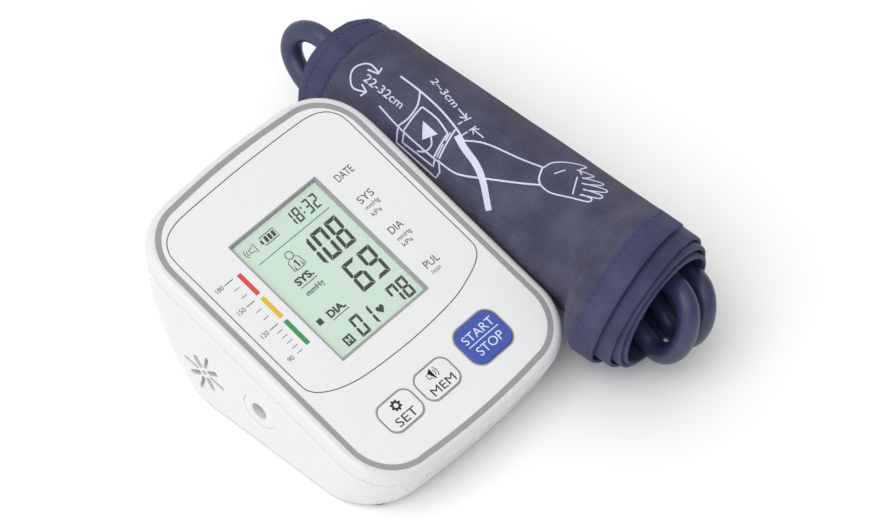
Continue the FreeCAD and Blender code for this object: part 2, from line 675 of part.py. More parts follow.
def write():
    """Move everything so that the box's bottom centre, without the hose, is the origin."""
    os.makedirs("parts", exist_ok=True)
    whole = FreeCAD.BoundBox()
    for name, shape in nodes.items():
        if name not in ("hose", "hose_plug"):
            whole.add(shape.optimalBoundingBox(False))
    origin = V(whole.Center.x, whole.Center.y, 0.0)
    for name, shape in nodes.items():
        shape.translate(V(0, 0, 0) - origin)
        if not shape.isValid():
            print("not valid:", name)
        shape.exportStep("parts/%s.step" % name)
        print("%-18s solids %2d  volume %9.1f mm3" % (name, len(shape.Solids), shape.Volume))
    print("origin in the layout frame", origin)
    print("size", whole.XLength, whole.YLength, whole.ZLength, "lowest", whole.ZMin)


build()
write()
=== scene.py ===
import json
import math
import bmesh
import bpy
from mathutils import Matrix, Vector, noise


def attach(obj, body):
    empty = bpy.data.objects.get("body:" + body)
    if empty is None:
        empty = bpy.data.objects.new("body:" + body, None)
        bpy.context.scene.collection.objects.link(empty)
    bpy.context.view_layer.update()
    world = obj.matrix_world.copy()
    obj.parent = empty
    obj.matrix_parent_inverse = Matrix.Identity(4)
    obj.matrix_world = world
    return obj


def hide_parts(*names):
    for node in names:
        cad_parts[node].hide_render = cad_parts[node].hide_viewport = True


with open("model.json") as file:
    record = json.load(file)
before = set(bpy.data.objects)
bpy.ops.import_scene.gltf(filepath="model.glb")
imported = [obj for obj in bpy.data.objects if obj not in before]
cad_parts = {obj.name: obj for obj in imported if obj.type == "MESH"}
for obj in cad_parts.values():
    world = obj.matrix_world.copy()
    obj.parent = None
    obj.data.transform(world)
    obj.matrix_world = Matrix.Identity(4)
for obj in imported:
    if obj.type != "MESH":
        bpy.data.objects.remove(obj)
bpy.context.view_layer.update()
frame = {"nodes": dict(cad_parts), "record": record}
nodes = frame["nodes"]

# The part was laid out in millimetres about the middle of the monitor; this is the row
# frame's origin in that layout.
ORIGIN = (23.857398, 1.5)
TILT = math.radians(17.5)
FACE_MID_Z = 39.36
MM_PER_M = 1000.0
ROLL_X, ROLL_Z, ROLL_R = 74.3, 24.6, 24.6    # axis and radius of the rolled cuff
PITCH = 2.0                                  # from one turn of the roll to the next


def row(x, y, z):
    """Row position, in metres, of a point of the layout, in mm."""
    return Vector(((x - ORIGIN[0]) / MM_PER_M, (y - ORIGIN[1]) / MM_PER_M, z / MM_PER_M))


def face(u, v, h=0.0):
    """Row position of a point given along, up and above the sloping face, in mm."""
    return row(u, v * math.cos(TILT) - h * math.sin(TILT),
               FACE_MID_Z + v * math.sin(TILT) + h * math.cos(TILT))


def step(a, b, x):
    """0 below a, 1 above b, and a smooth rise between."""
    t = min(1.0, max(0.0, (x - a) / (b - a)))
    return t * t * (3 - 2 * t)


# ---------------------------------------------------------------- materials
class Mat:
    """A small helper that wires procedural node materials in object coordinates."""

    def __init__(self, name, color, rough, **fixed):
        self.m = bpy.data.materials.new(name)
        self.m.use_nodes = True
        self.t = self.m.node_tree
        self.b = self.t.nodes["Principled BSDF"]
        self.b.inputs["Base Color"].default_value = (*color, 1)
        self.b.inputs["Roughness"].default_value = rough
        for key, value in fixed.items():
            self.b.inputs[key.replace("_", " ")].default_value = value
        coord = self.t.nodes.new("ShaderNodeTexCoord")
        self.map = self.t.nodes.new("ShaderNodeMapping")
        self.map.inputs["Scale"].default_value = (MM_PER_M,) * 3
        self.t.links.new(coord.outputs["Object"], self.map.inputs["Vector"])
        self.uv = coord.outputs["UV"]
        self.color = color
        self.rough = rough
        self.normal = None

    def link(self, a, b):
        self.t.links.new(a, b)

    def noise(self, scale, detail=3, rough=0.55):
        n = self.t.nodes.new("ShaderNodeTexNoise")
        n.inputs["Scale"].default_value = scale
        n.inputs["Detail"].default_value = detail
        n.inputs["Roughness"].default_value = rough
        self.link(self.map.outputs[0], n.inputs["Vector"])
        return n.outputs["Fac"]

    def wave(self, scale, direction, distort=0.0):
        n = self.t.nodes.new("ShaderNodeTexWave")
        n.bands_direction = direction
        n.wave_profile = "SIN"
        n.inputs["Scale"].default_value = scale
        n.inputs["Distortion"].default_value = distort
        n.inputs["Detail"].default_value = 1.0
        self.link(self.map.outputs[0], n.inputs["Vector"])
        return n.outputs["Fac"]

    def math(self, op, a, b):
        n = self.t.nodes.new("ShaderNodeMath")
        n.operation = op
        for socket, value in zip(n.inputs, (a, b)):
            if isinstance(value, (int, float)):
                socket.default_value = value
            else:
                self.link(value, socket)
        return n.outputs[0]

    def ramp(self, fac, lo, hi, a, b):
        n = self.t.nodes.new("ShaderNodeMapRange")
        n.inputs["From Min"].default_value = lo
        n.inputs["From Max"].default_value = hi
        n.inputs["To Min"].default_value = a
        n.inputs["To Max"].default_value = b
        self.link(fac, n.inputs["Value"])
        return n.outputs["Result"]

    def tint(self, fac, amount, other=None):
        """Vary the base colour by a factor from 0 to 1."""
        dark = other or tuple(c * (1 - amount) for c in self.color)
        n = self.t.nodes.new("ShaderNodeMix")
        n.data_type = "RGBA"
        n.inputs["A"].default_value = (*dark, 1)
        n.inputs["B"].default_value = (*self.color, 1)
        self.link(fac, n.inputs["Factor"])
        self.link(n.outputs["Result"], self.b.inputs["Base Color"])

    def roughen(self, fac, spread):
        self.link(self.ramp(fac, 0.3, 0.7, self.rough - spread, self.rough + spread),
                  self.b.inputs["Roughness"])

    def bump(self, height, strength, distance_mm):
        n = self.t.nodes.new("ShaderNodeBump")
        n.inputs["Strength"].default_value = strength
        n.inputs["Distance"].default_value = distance_mm / MM_PER_M
        self.link(height, n.inputs["Height"])
        if self.normal is not None:
            self.link(self.normal, n.inputs["Normal"])
        self.normal = n.outputs["Normal"]
        self.link(self.normal, self.b.inputs["Normal"])


def moulded(name, color, rough, grain=0.03, speck=0.03, **fixed):
    """Injection-moulded plastic: fine grain, slow waviness, faint tone and gloss changes."""
    m = Mat(name, color, rough, **fixed)
    slow = m.noise(0.05, 2)
    m.tint(m.ramp(slow, 0.3, 0.7, 0, 1), speck)
    m.roughen(m.noise(0.35, 4), 0.05)
    m.bump(m.noise(0.9, 1, 0.4), grain, 0.15)
    m.bump(slow, 0.04, 0.6)
    return m.m


TWILL_MM, WARP_MM, WEFT_MM = 0.85, 0.42, 0.36
TWILL_SLOPE = 1.35


def fabric(name, color, twill, strength, other=None, rough=0.62, sheen=0.35, scale=1.0):
    """Woven nylon: diagonal twill ridges over warp and weft threads, soft creases."""
    m = Mat(name, color, rough, Sheen_Weight=sheen, Sheen_Roughness=0.4, Specular_IOR_Level=0.12)
    if twill:
        u = m.t.nodes.new("ShaderNodeSeparateXYZ")
        m.link(m.uv, u.inputs[0])
        diag = m.math("ADD", u.outputs[0], m.math("MULTIPLY", u.outputs[1], TWILL_SLOPE))
        ridge = m.math("SINE", m.math("MULTIPLY", diag, 2 * math.pi / TWILL_MM * scale), 0)
        ridge = m.math("ADD", m.math("MULTIPLY", ridge, 0.5), 0.5)
        warp = m.math("SINE", m.math("MULTIPLY", u.outputs[0], 2 * math.pi / WARP_MM * scale), 0)
        weft = m.math("SINE", m.math("MULTIPLY", u.outputs[1], 2 * math.pi / WEFT_MM * scale), 0)
        cross = m.math("ADD", m.math("MULTIPLY", m.math("MULTIPLY", warp, weft), 0.5), 0.5)
        weave = m.math("ADD", m.math("MULTIPLY", ridge, 0.7), m.math("MULTIPLY", cross, 0.3))
    else:
        warp = m.wave(2.2, "Y", 0.15)
        weft = m.wave(2.6, "X", 0.15)
        weave = m.math("ADD", m.math("MULTIPLY", warp, 0.5), m.math("MULTIPLY", weft, 0.5))
    blotch = m.noise(0.09, 4)
    mixed = m.math("ADD", m.math("MULTIPLY", weave, 0.68),
                   m.math("MULTIPLY", m.ramp(blotch, 0.3, 0.7, 0, 1), 0.32))
    m.tint(mixed, 0.38, other)
    m.roughen(blotch, 0.06)
    m.bump(m.noise(0.12, 3), 0.25, 1.2)
    m.bump(weave, strength, 0.22)
    return m.m


white = moulded("housing_white", (0.7, 0.705, 0.715), 0.3, 0.01, 0.012, Coat_Weight=0.15)
face_white = moulded("face_overlay", (0.8, 0.805, 0.815), 0.3, 0.01, 0.012)
grey = moulded("trim_grey", (0.32, 0.325, 0.33), 0.42, 0.06, 0.05)
inner = moulded("inner_plastic", (0.7, 0.7, 0.67), 0.5, 0.08, 0.05)
black = moulded("black_plastic", (0.03, 0.03, 0.032), 0.45, 0.08, 0.2)
blue = moulded("blue_button", (0.042, 0.085, 0.42), 0.34, 0.03, 0.08, Coat_Weight=0.2)
button_white = moulded("white_button", (0.79, 0.795, 0.81), 0.32, 0.02, 0.012)
foot = moulded("foot_rubber", (0.12, 0.12, 0.12), 0.8, 0.2, 0.25)
plug_mat = moulded("plug_plastic", (0.72, 0.72, 0.72), 0.35, 0.03, 0.03)
hose_mat = moulded("hose_rubber", (0.031, 0.038, 0.1), 0.42, 0.08, 0.18, Coat_Weight=0.08,
                   Coat_Roughness=0.3)
silicone = moulded("silicone", (0.72, 0.72, 0.68), 0.4, 0.05, 0.06, Transmission_Weight=0.2)
board = moulded("circuit_board", (0.02, 0.16, 0.06), 0.35, 0.15, 0.3)
ink = moulded("ink_black", (0.012, 0.012, 0.014), 0.45, 0.03, 0.1)
ink_grey = moulded("ink_grey", (0.06, 0.062, 0.066), 0.5, 0.03, 0.15)
lcd_ink = moulded("lcd_segment", (0.012, 0.016, 0.016), 0.5, 0.02, 0.2)
red = moulded("print_red", (0.75, 0.06, 0.045), 0.45, 0.03, 0.06)
yellow = moulded("print_yellow", (0.78, 0.5, 0.01), 0.45, 0.03, 0.06)
green = moulded("print_green", (0.035, 0.3, 0.1), 0.45, 0.03, 0.06)
button_ink = moulded("print_lavender", (0.72, 0.74, 0.9), 0.45, 0.03, 0.04)

cloth = fabric("cuff_nylon", (0.15, 0.15, 0.225), True, 1.0, (0.016, 0.016, 0.04), sheen=0.03)
band_cloth = fabric("binding_tape", (0.115, 0.12, 0.235), True, 1.0, (0.014, 0.016, 0.052),
                    0.55, 0.04, 1.25)
print_cloth = fabric("cuff_print", (0.7, 0.7, 0.84), True, 0.35, (0.56, 0.56, 0.72), 0.55, 0.1)
thread = fabric("stitch_thread", (0.05, 0.06, 0.17), False, 0.3, (0.02, 0.026, 0.09), 0.5, 0.5)
pile = fabric("loop_pile", (0.05, 0.052, 0.09), False, 0.6, (0.02, 0.02, 0.05), 0.8, 0.8)


def metal(name, color, rough):
    """Plated or bare metal: faint brushing, slow changes of tone and gloss."""
    m = Mat(name, color, rough, Metallic=1.0)
    m.tint(m.ramp(m.noise(0.6, 4), 0.3, 0.7, 0, 1), 0.12)
    m.roughen(m.noise(1.2, 3), 0.07)
    m.bump(m.wave(2.0, "Y", 1.5), 0.06, 0.05)
    return m.m


steel = metal("plated_steel", (0.6, 0.6, 0.6), 0.3)
nickel = metal("nickel_plate", (0.72, 0.7, 0.66), 0.22)
ring_metal = metal("ring_wire", (0.76, 0.56, 0.36), 0.3)
cell_sleeve = moulded("cell_sleeve", (0.05, 0.16, 0.08), 0.3, 0.03, 0.1)


def lcd_material():
    """The display's pale green ground, with very faint stripes."""
    m = Mat("lcd_green", (0.6, 0.75, 0.64), 0.5)
    stripes = m.wave(1.6, "X", 0.0)
    slow = m.noise(0.03, 1)
    m.tint(m.math("ADD", m.math("MULTIPLY", stripes, 0.15), m.math("MULTIPLY", slow, 0.85)),
           0.06, (0.55, 0.71, 0.6))
    m.bump(m.noise(2.5, 2), 0.02, 0.1)
    return m.m


def clear_material():
    """A thin clear window: it lets light through unbent and adds a faint reflection."""
    m = bpy.data.materials.new("clear_window")
    m.use_nodes = True
    t = m.node_tree
    b = t.nodes["Principled BSDF"]
    b.inputs["Base Color"].default_value = (0.98, 1.0, 0.99, 1)
    b.inputs["Roughness"].default_value = 0.05
    b.inputs["Alpha"].default_value = 0.02
    b.inputs["Specular IOR Level"].default_value = 0.12
    coord = t.nodes.new("ShaderNodeTexCoord")
    n = t.nodes.new("ShaderNodeTexNoise")
    n.inputs["Scale"].default_value = 60
    t.links.new(coord.outputs["Object"], n.inputs["Vector"])
    r = t.nodes.new("ShaderNodeMapRange")
    r.inputs["To Min"].default_value = 0.03
    r.inputs["To Max"].default_value = 0.09
    t.links.new(n.outputs["Fac"], r.inputs["Value"])
    t.links.new(r.outputs["Result"], b.inputs["Roughness"])
    return m


lcd = lcd_material()
clear = clear_material()

NODE_MATERIALS = {
    "housing": white, "trim": grey, "face": face_white, "clear": clear, "lcd": lcd,
    "inner_plastic": inner, "conductive_rubber": foot, "circuit_board": board,
    "black_plastic": black, "steel": steel, "nickel": nickel, "silicone": silicone,
    "foot_rubber": foot, "blue_button": blue, "white_button": button_white,
    "cell": cell_sleeve, "cuff_nylon": cloth, "cuff_lining": cloth, "binding": band_cloth,
    "hook": pile, "loop": pile, "bladder_rubber": black, "ring_metal": ring_metal,
    "hose_rubber": hose_mat, "plug_plastic": plug_mat,
}
for part in frame["record"]["subparts"]:
    node = nodes.get(part["node"])
    if node is not None:
        node.data.materials.clear()
        node.data.materials.append(NODE_MATERIALS[part["material_slot"]])
for name in ("upper_housing", "lower_housing", "trim_ring", "faceplate"):
    even = nodes[name].modifiers.new("even_normals", "WEIGHTED_NORMAL")
    even.keep_sharp = True
    even.weight = 80


# ---------------------------------------------------------------- mesh helpers
def mesh_object(name, verts, faces, material, smooth=True, uvs=None):
    """A new object from vertices in metres, with its normals facing out."""
    data = bpy.data.meshes.new(name)
    data.from_pydata([tuple(v) for v in verts], [], faces)
    if uvs is not None:
        layer = data.uv_layers.new(name="cloth")
        for loop in data.loops:
            layer.data[loop.index].uv = uvs[loop.vertex_index]
    data.materials.append(material)
    bm = bmesh.new()
    bm.from_mesh(data)
    bmesh.ops.recalc_face_normals(bm, faces=bm.faces)
    bm.to_mesh(data)
    bm.free()
    if smooth:
        data.shade_smooth()
    obj = bpy.data.objects.new(name, data)
    bpy.context.scene.collection.objects.link(obj)
    return obj


def join(name, objs):
    """Make one object of several, under a new name."""
    first = objs[0]
    bpy.ops.object.select_all(action="DESELECT")
    for o in objs:
        o.select_set(True)
    bpy.context.view_layer.objects.active = first
    if len(objs) > 1:
        bpy.ops.object.join()
    first.name = name
    first.data.name = name
    return first


def prism(outline, place, low, high, name, material, holes=()):
    """A thin flat print or segment: a filled outline raised from low to high."""
    bm = bmesh.new()
    loops = [outline] + list(holes)
    edges = []
    for pts in loops:
        vs = [bm.verts.new((p[0], p[1], 0)) for p in pts]
        for i, v in enumerate(vs):
            edges.append(bm.edges.new((v, vs[(i + 1) % len(vs)])))
    bmesh.ops.triangle_fill(bm, use_beauty=True, edges=edges)
    top = bmesh.ops.extrude_face_region(bm, geom=list(bm.faces))
    for v in [g for g in top["geom"] if isinstance(g, bmesh.types.BMVert)]:
        v.co.z = 1.0
    bmesh.ops.recalc_face_normals(bm, faces=bm.faces)
    for v in bm.verts:
        v.co = place(v.co.x, v.co.y, low + (high - low) * v.co.z)
    data = bpy.data.meshes.new(name)
    bm.to_mesh(data)
    bm.free()
    data.materials.append(material)
    obj = bpy.data.objects.new(name, data)
    bpy.context.scene.collection.objects.link(obj)
    return obj


def ribbon(points, width, closed=False):
    """Outline (and hole) of a stroke along a flat polyline."""
    n = len(points)
    left, right = [], []
    for i, (x, y) in enumerate(points):
        a = points[(i - 1) % n] if closed or i > 0 else points[i]
        b = points[(i + 1) % n] if closed or i < n - 1 else points[i]
        d = Vector((b[0] - a[0], b[1] - a[1]))
        d.normalize()
        w = width / 2
        left.append((x - d.y * w, y + d.x * w))
        right.append((x + d.y * w, y - d.x * w))
    return (left, right) if closed else (left + right[::-1], None)


def stroke(points, width, place, low, high, name, material, closed=False):
    outline, hole = ribbon(points, width, closed)
    return prism(outline, place, low, high, name, material, [hole] if hole else [])


def smooth_line(points, per=8, closed=False):
    """A rounded line through the points."""
    out = []
    n = len(points)
    last = n if closed else n - 1
    for i in range(last):
        p = [Vector(points[(i + k) % n] if closed else points[min(n - 1, max(0, i + k))])
             for k in (-1, 0, 1, 2)]
        for s in range(per):
            t = s / per
            q = 0.5 * (2 * p[1] + (p[2] - p[0]) * t + (2 * p[0] - 5 * p[1] + 4 * p[2] - p[3]) * t * t
                       + (3 * p[1] - p[0] - 3 * p[2] + p[3]) * t ** 3)
            out.append((q.x, q.y))
    if not closed:
        out.append(tuple(points[-1]))
    return out


def circle(u, v, r, n=32, a0=0.0, a1=360.0):
    """Points of a circle, or of an arc from a0 to a1 degrees."""
    full = abs(a1 - a0) >= 360
    count = n if full else n + 1
    return [(u + r * math.cos(math.radians(a0 + (a1 - a0) * i / n)),
             v + r * math.sin(math.radians(a0 + (a1 - a0) * i / n))) for i in range(count)]


CAP_SHARE = 0.729       # height of a capital in the built-in font, against its size


def lettering(text, u, v, height, width, place, low, high, name, material, bold=0.0, right=False):
    """Plain sans lettering: cap height and overall width in mm, from its lower left corner. A
    width of 0 leaves the font's own, and right sets it against its right end."""
    curve = bpy.data.curves.new(name, "FONT")
    curve.body = text
    curve.size = 1.0
    curve.resolution_u = 6
    curve.offset = bold
    holder = bpy.data.objects.new(name, curve)
    bpy.context.scene.collection.objects.link(holder)
    bpy.context.view_layer.update()
    data = bpy.data.meshes.new_from_object(holder.evaluated_get(
        bpy.context.evaluated_depsgraph_get()))
    bpy.data.objects.remove(holder)
    xs = [p.co.x for p in data.vertices]
    x0, x1 = min(xs), max(xs)
    k = height / CAP_SHARE
    kx = width / (x1 - x0) if width else k
    bm = bmesh.new()
    bm.from_mesh(data)
    bmesh.ops.remove_doubles(bm, verts=bm.verts, dist=1e-5)
    top = bmesh.ops.extrude_face_region(bm, geom=list(bm.faces))
    for p in [g for g in top["geom"] if isinstance(g, bmesh.types.BMVert)]:
        p.co.z = 1.0
    bmesh.ops.recalc_face_normals(bm, faces=bm.faces)
    for p in bm.verts:
        x = (p.co.x - x0) * kx - ((x1 - x0) * kx if right else 0)
        p.co = place(u + x, v + p.co.y * k, low + (high - low) * p.co.z)
    bm.to_mesh(data)
    bm.free()
    data.materials.clear()
    data.materials.append(material)
    obj = bpy.data.objects.new(name, data)
    bpy.context.scene.collection.objects.link(obj)
    return obj


SEGMENTS = {"0": "abcdef", "1": "bc", "2": "abged", "3": "abgcd", "6": "afgedc", "7": "abcf",
            "8": "abcdefg", "9": "abcdfg"}


def digit(char, u, v, w, h, t, name, slant):
    """Seven-segment figure: lower left corner, size, stroke and lean. Segments a to g run from
    the top clockwise, with g in the middle."""
    g = t * 0.09
    m = h / 2
    upper = [(0, h - g), (t, h - t - g), (t, m + t / 2 + g), (t * 0.5, m + g),
             (0, m + t * 0.4 + g)]
    lower = [(0, g), (t, t + g), (t, m - t / 2 - g), (t * 0.5, m - g),
             (0, m - t * 0.4 - g)]
    shapes = {
        "a": [(g, h), (w - g, h), (w - t - g, h - t), (t + g, h - t)],
        "b": [(w - x, y) for x, y in upper],
        "c": [(w - x, y) for x, y in lower],
        "d": [(g, 0), (t + g, t), (w - t - g, t), (w - g, 0)],
        "e": lower,
        "f": upper,
        "g": [(g + t * 0.5, m), (t + g, m + t / 2), (w - t - g, m + t / 2), (w - g - t * 0.5, m),
              (w - t - g, m - t / 2), (t + g, m - t / 2)],
    }
    parts = []
    for seg in SEGMENTS[char]:
        pts = [(u + x + y * slant, v + y) for x, y in shapes[seg]]
        parts.append(prism(pts, face, LCD_LOW, LCD_HIGH, name, lcd_ink))
    return parts


def number(text, u, v, w, h, t, gap, name, slant):
    """A row of seven-segment figures, gap apart; a colon is two squares."""
    parts = []
    for char in text:
        if char == ":":
            for f in (0.28, 0.66):
                y = h * f
                box = [(u + y * slant, v + y), (u + t + y * slant, v + y),
                       (u + t + y * slant, v + y + t), (u + y * slant, v + y + t)]
                parts.append(prism(box, face, LCD_LOW, LCD_HIGH, name, lcd_ink))
            u += t + gap
            continue
        parts += digit(char, u, v, w, h, t, name, slant)
        u += w + gap
    return parts


def face_piece(name, objs, body="monitor"):
    """Join prints into one piece that rides a body."""
    piece = join(name, objs)
    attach(piece, body)
    return piece


# ---------------------------------------------------------------- display
LCD_LOW, LCD_HIGH = -1.29, -1.24        # below and above the figures, over the face


def lcd_stroke(points, width, closed=False):
    return stroke(points, width, face, LCD_LOW, LCD_HIGH, "lcd_line", lcd_ink, closed)


def lcd_fill(points, holes=()):
    return prism(points, face, LCD_LOW, LCD_HIGH, "lcd_fill", lcd_ink, holes)


def lcd_text(text, u, v, height, width, name, bold):
    return lettering(text, u, v, height, width, face, LCD_LOW, LCD_HIGH, name, lcd_ink, bold)


def rect(u0, v0, u1, v1):
    return [(u0, v0), (u1, v0), (u1, v1), (u0, v1)]


figures = number("18:32", -1.0, 27.8, 2.5, 5.4, 0.62, 0.85, "clock", 0.08)
figures += number("108", -6.2, 11.0, 5.3, 11.7, 1.35, 1.35, "sys_value", 0.07)
figures += number("69", 0.3, -4.0, 5.9, 11.7, 1.35, 1.35, "dia_value", 0.07)
figures += number("01", -11.6, -15.3, 4.0, 7.7, 0.95, 0.6, "memory_value", 0.07)
figures += number("78", 6.0, -15.3, 3.7, 7.7, 0.95, 0.85, "pulse_value", 0.07)
face_piece("lcd_figures", figures)

marks = [lcd_stroke([(-19.7, 25.6), (13.9, 25.6)], 0.22)]
marks.append(lcd_text("SYS.", -15.0, 11.6, 2.6, 7.6, "lcd_sys", 0.035))
marks.append(lcd_stroke([(-15.0, 10.5), (-7.2, 10.5)], 0.25))
marks.append(lcd_text("mmHg", -15.0, 6.9, 2.1, 7.8, "lcd_mmhg", 0.008))
marks.append(lcd_text("DIA.", -15.0, -3.5, 2.7, 7.4, "lcd_dia", 0.035))
marks.append(lcd_stroke([(-15.0, -4.5), (-7.2, -4.5)], 0.25))
marks.append(lcd_fill(rect(-19.8, -3.2, -17.7, -1.0)))
m_box = rect(-17.8, -14.7, -14.2, -11.2)
m_letter = [(-17.1, -14.2), (-16.6, -14.2), (-16.6, -12.6), (-16.0, -13.7), (-15.4, -12.6),
            (-15.4, -14.2), (-14.9, -14.2), (-14.9, -11.7), (-15.4, -11.7), (-16.0, -12.9),
            (-16.6, -11.7), (-17.1, -11.7)]
marks.append(lcd_fill(m_box, holes=[m_letter]))
heart = []
for i in range(40):
    a = 2 * math.pi * i / 40
    x = 16 * math.sin(a) ** 3
    y = 13 * math.cos(a) - 5 * math.cos(2 * a) - 2 * math.cos(3 * a) - math.cos(4 * a)
    heart.append((0.3 + x * 0.098, -11.75 + y * 0.108))
marks.append(lcd_fill(heart))
# battery
marks.append(lcd_stroke(rect(-12.6, 29.2, -6.4, 32.6), 0.3, closed=True))
marks.append(lcd_fill(rect(-13.4, 30.1, -12.75, 31.7)))
for u in (-11.6, -9.9, -8.2):
    marks.append(lcd_fill([(u, 29.8), (u + 1.15, 29.8), (u + 1.3, 32.0), (u + 0.15, 32.0)]))
# speaker with sound waves
horn = [(-16.0, 29.2), (-17.6, 30.3), (-18.6, 30.3), (-18.6, 31.7), (-17.6, 31.7), (-16.0, 32.8)]
marks.append(lcd_stroke(horn, 0.28, closed=True))
marks.append(lcd_stroke(circle(-18.6, 31.0, 1.2, 12, 130, 230), 0.25))
marks.append(lcd_stroke(circle(-18.6, 31.0, 2.1, 12, 135, 225), 0.25))
# person
marks.append(lcd_stroke(circle(-9.3, 21.7, 1.45, 24), 0.28, closed=True))
body_line = [(-8.0, 20.3), (-7.0, 19.6), (-6.7, 16.2), (-7.6, 16.2), (-7.8, 18.2), (-7.9, 16.0),
             (-10.9, 16.0), (-11.0, 18.2), (-11.2, 16.2), (-12.0, 16.2), (-11.8, 19.6), (-10.7, 20.3)]
marks.append(lcd_stroke(body_line, 0.28))
marks.append(lcd_fill([(-9.5, 16.6), (-8.9, 16.6), (-8.9, 19.4), (-9.35, 19.4), (-10.0, 18.9),
                       (-9.8, 18.5), (-9.5, 18.7)]))
face_piece("lcd_symbols", marks)


# ---------------------------------------------------------------- printing on the face
PRINT_LOW, PRINT_HIGH = 0.005, 0.03     # below and above the ink, over the face


def printed(points, width, name, closed=False):
    return stroke(points, width, face, PRINT_LOW, PRINT_HIGH, name, ink_grey, closed)


def printed_text(text, u, v, height, width, name, right=False):
    return lettering(text, u, v, height, width, face, PRINT_LOW, PRINT_HIGH, name, ink_grey,
                     right=right)


outline = [(-41.0, 30), (-41.0, 44), (-40.0, 48.2), (-37.2, 51.6), (-32, 53.7), (-24, 54.5),
           (-5, 54.95), (6, 54.95), (25, 54.5), (33, 53.7), (38.0, 51.6), (40.7, 48.2), (41.6, 44),
           (41.6, 30), (41.5, 5), (41.5, -13), (40.8, -17.2), (37.6, -20.4), (30, -23.4),
           (20, -25.6), (0.5, -26.7), (-20, -25.8), (-30, -23.9), (-36.6, -21.0), (-40.0, -17.8),
           (-40.9, -13.5), (-41.0, 5)]
lines = [printed(smooth_line(outline, 6, True), 0.34, "outline", closed=True)]
for v in (27.3, 17.1, 6.2):
    lines.append(printed([(-34.5, v), (-30.7, v)], 0.3, "tick"))
for v in (23.8, 20.4, 13.6, 10.2, 3.8, 1.5, -0.8, -3.2, -5.5):
    lines.append(printed([(-33.5, v), (-31.0, v)], 0.22, "tick"))
for text, v in (("180", 27.3), ("150", 17.1), ("120", 6.2), ("90", -5.5)):
    lines.append(printed_text(text, -35.3, v - 0.85, 1.8, 0, "scale", right=True))
labels = (("DATE", 29.7, 3.0, 7.6), ("SYS", 19.1, 2.9, 6.6), ("mmHg", 16.3, 1.75, 6.2),
          ("kPa", 13.3, 1.75, 4.3), ("DIA", 4.5, 2.9, 5.8), ("mmHg", 1.3, 1.75, 6.2),
          ("kPa", -1.3, 1.75, 4.3), ("PUL", -12.1, 2.9, 6.2), ("/min", -14.7, 1.75, 4.2))
for text, v, high, wide in labels:
    lines.append(printed_text(text, 22.5, v, high, wide, "label"))
face_piece("face_print", lines)
scale_bars = (("scale_red", 17.9, 27.3, red), ("scale_yellow", 7.0, 16.4, yellow),
              ("scale_green", -5.4, 5.5, green))
for name, v0, v1, material in scale_bars:
    bar = prism(rect(-28.9, v0, -27.1, v1), face, PRINT_LOW, PRINT_HIGH, name, material)
    face_piece(name, [bar])

# ---------------------------------------------------------------- printing on the buttons
TOP_LOW, TOP_HIGH = 0.352, 0.375        # below and above the ink on the raised buttons


def button_text(text, u, v, height, width, name, material):
    return lettering(text, u, v, height, width, face, TOP_LOW, TOP_HIGH, name, material)


def button_stroke(points, width, name, material, closed=False):
    return stroke(points, width, face, TOP_LOW, TOP_HIGH, name, material, closed)


start = [button_text("START", 11.9, -40.4, 3.3, 14.0, "start", button_ink),
         button_stroke([(11.9, -41.55), (25.9, -41.55)], 0.35, "start_line", button_ink),
         button_text("STOP", 13.2, -46.2, 3.4, 11.6, "stop", button_ink)]
face_piece("start_print", start, "start_button")
speaker_icon = [(-6.6, -39.0), (-5.6, -39.0), (-4.1, -37.7), (-4.1, -41.9), (-5.6, -40.7),
                (-6.6, -40.7)]
mem = [button_text("MEM", -9.4, -46.4, 3.2, 10.4, "mem", ink),
       button_stroke(speaker_icon, 0.32, "mem_icon", ink, closed=True),
       button_stroke(circle(-4.3, -39.8, 1.3, 12, -50, 50), 0.3, "mem_wave", ink),
       button_stroke(circle(-4.3, -39.8, 2.2, 14, -50, 50), 0.3, "mem_wave", ink)]
face_piece("mem_print", mem, "mem_button")
gear = []
for i in range(32):
    a = 2 * math.pi * (i + 0.5) / 32
    r = 2.15 if i % 4 in (0, 1) else 1.6
    gear.append((-21.9 + r * math.cos(a), -39.9 + r * math.sin(a)))
sets = [button_text("SET", -26.4, -46.5, 3.3, 8.9, "set", ink),
        prism(gear, face, TOP_LOW, TOP_HIGH, "gear", ink, [circle(-21.9, -39.9, 0.85, 20)])]
face_piece("set_print", sets, "set_button")


# ---------------------------------------------------------------- rolled cuff
T_END = 1410.0          # degrees of spiral from the free edge to the inner end
FREE_EDGE = 50.0        # angle of the free edge, on top of the roll
FLARE = 3.9             # how much wider the opened front end is
SIDE_SHIFT = 7.4        # and how far it has moved towards the monitor
END_LEAN = (-0.52, 0.854)


def bulge(y):
    """How far the roll has opened out, from 0 to 1, towards its front end."""
    return (1 - step(-59, -43, y)) ** 1.6


def crease(a, y):
    """Soft unevenness of the stuffed roll, never outwards, the same for every turn."""
    q = Vector((math.cos(a) * 1.1, math.sin(a) * 1.1, y * 0.035))
    low = noise.noise(q * 0.9 + Vector((3.1, 0.4, 7.7)))
    mid = noise.noise(q * 2.3 + Vector((1.3, 5.2, 2.2)))
    long = noise.noise(Vector((math.cos(a) * 3.2, math.sin(a) * 3.2, y * 0.012 + 4.0)))
    end = step(35, 66, abs(y))
    pucker = noise.noise(Vector((math.cos(a) * 4.5, math.sin(a) * 4.5, y * 0.05)))
    soft = 0.25 + 0.28 * (0.5 + low) + 0.12 * mid + 0.16 * abs(long) + 0.25 * end * (0.5 + pucker)
    return -soft * (1 - 0.45 * bulge(y))


def roll_centre(y):
    """Layout x and z of the roll's axis, which moves where its front end has opened."""
    f = bulge(y)
    return ROLL_X - SIDE_SHIFT * f, ROLL_Z + FLARE * f


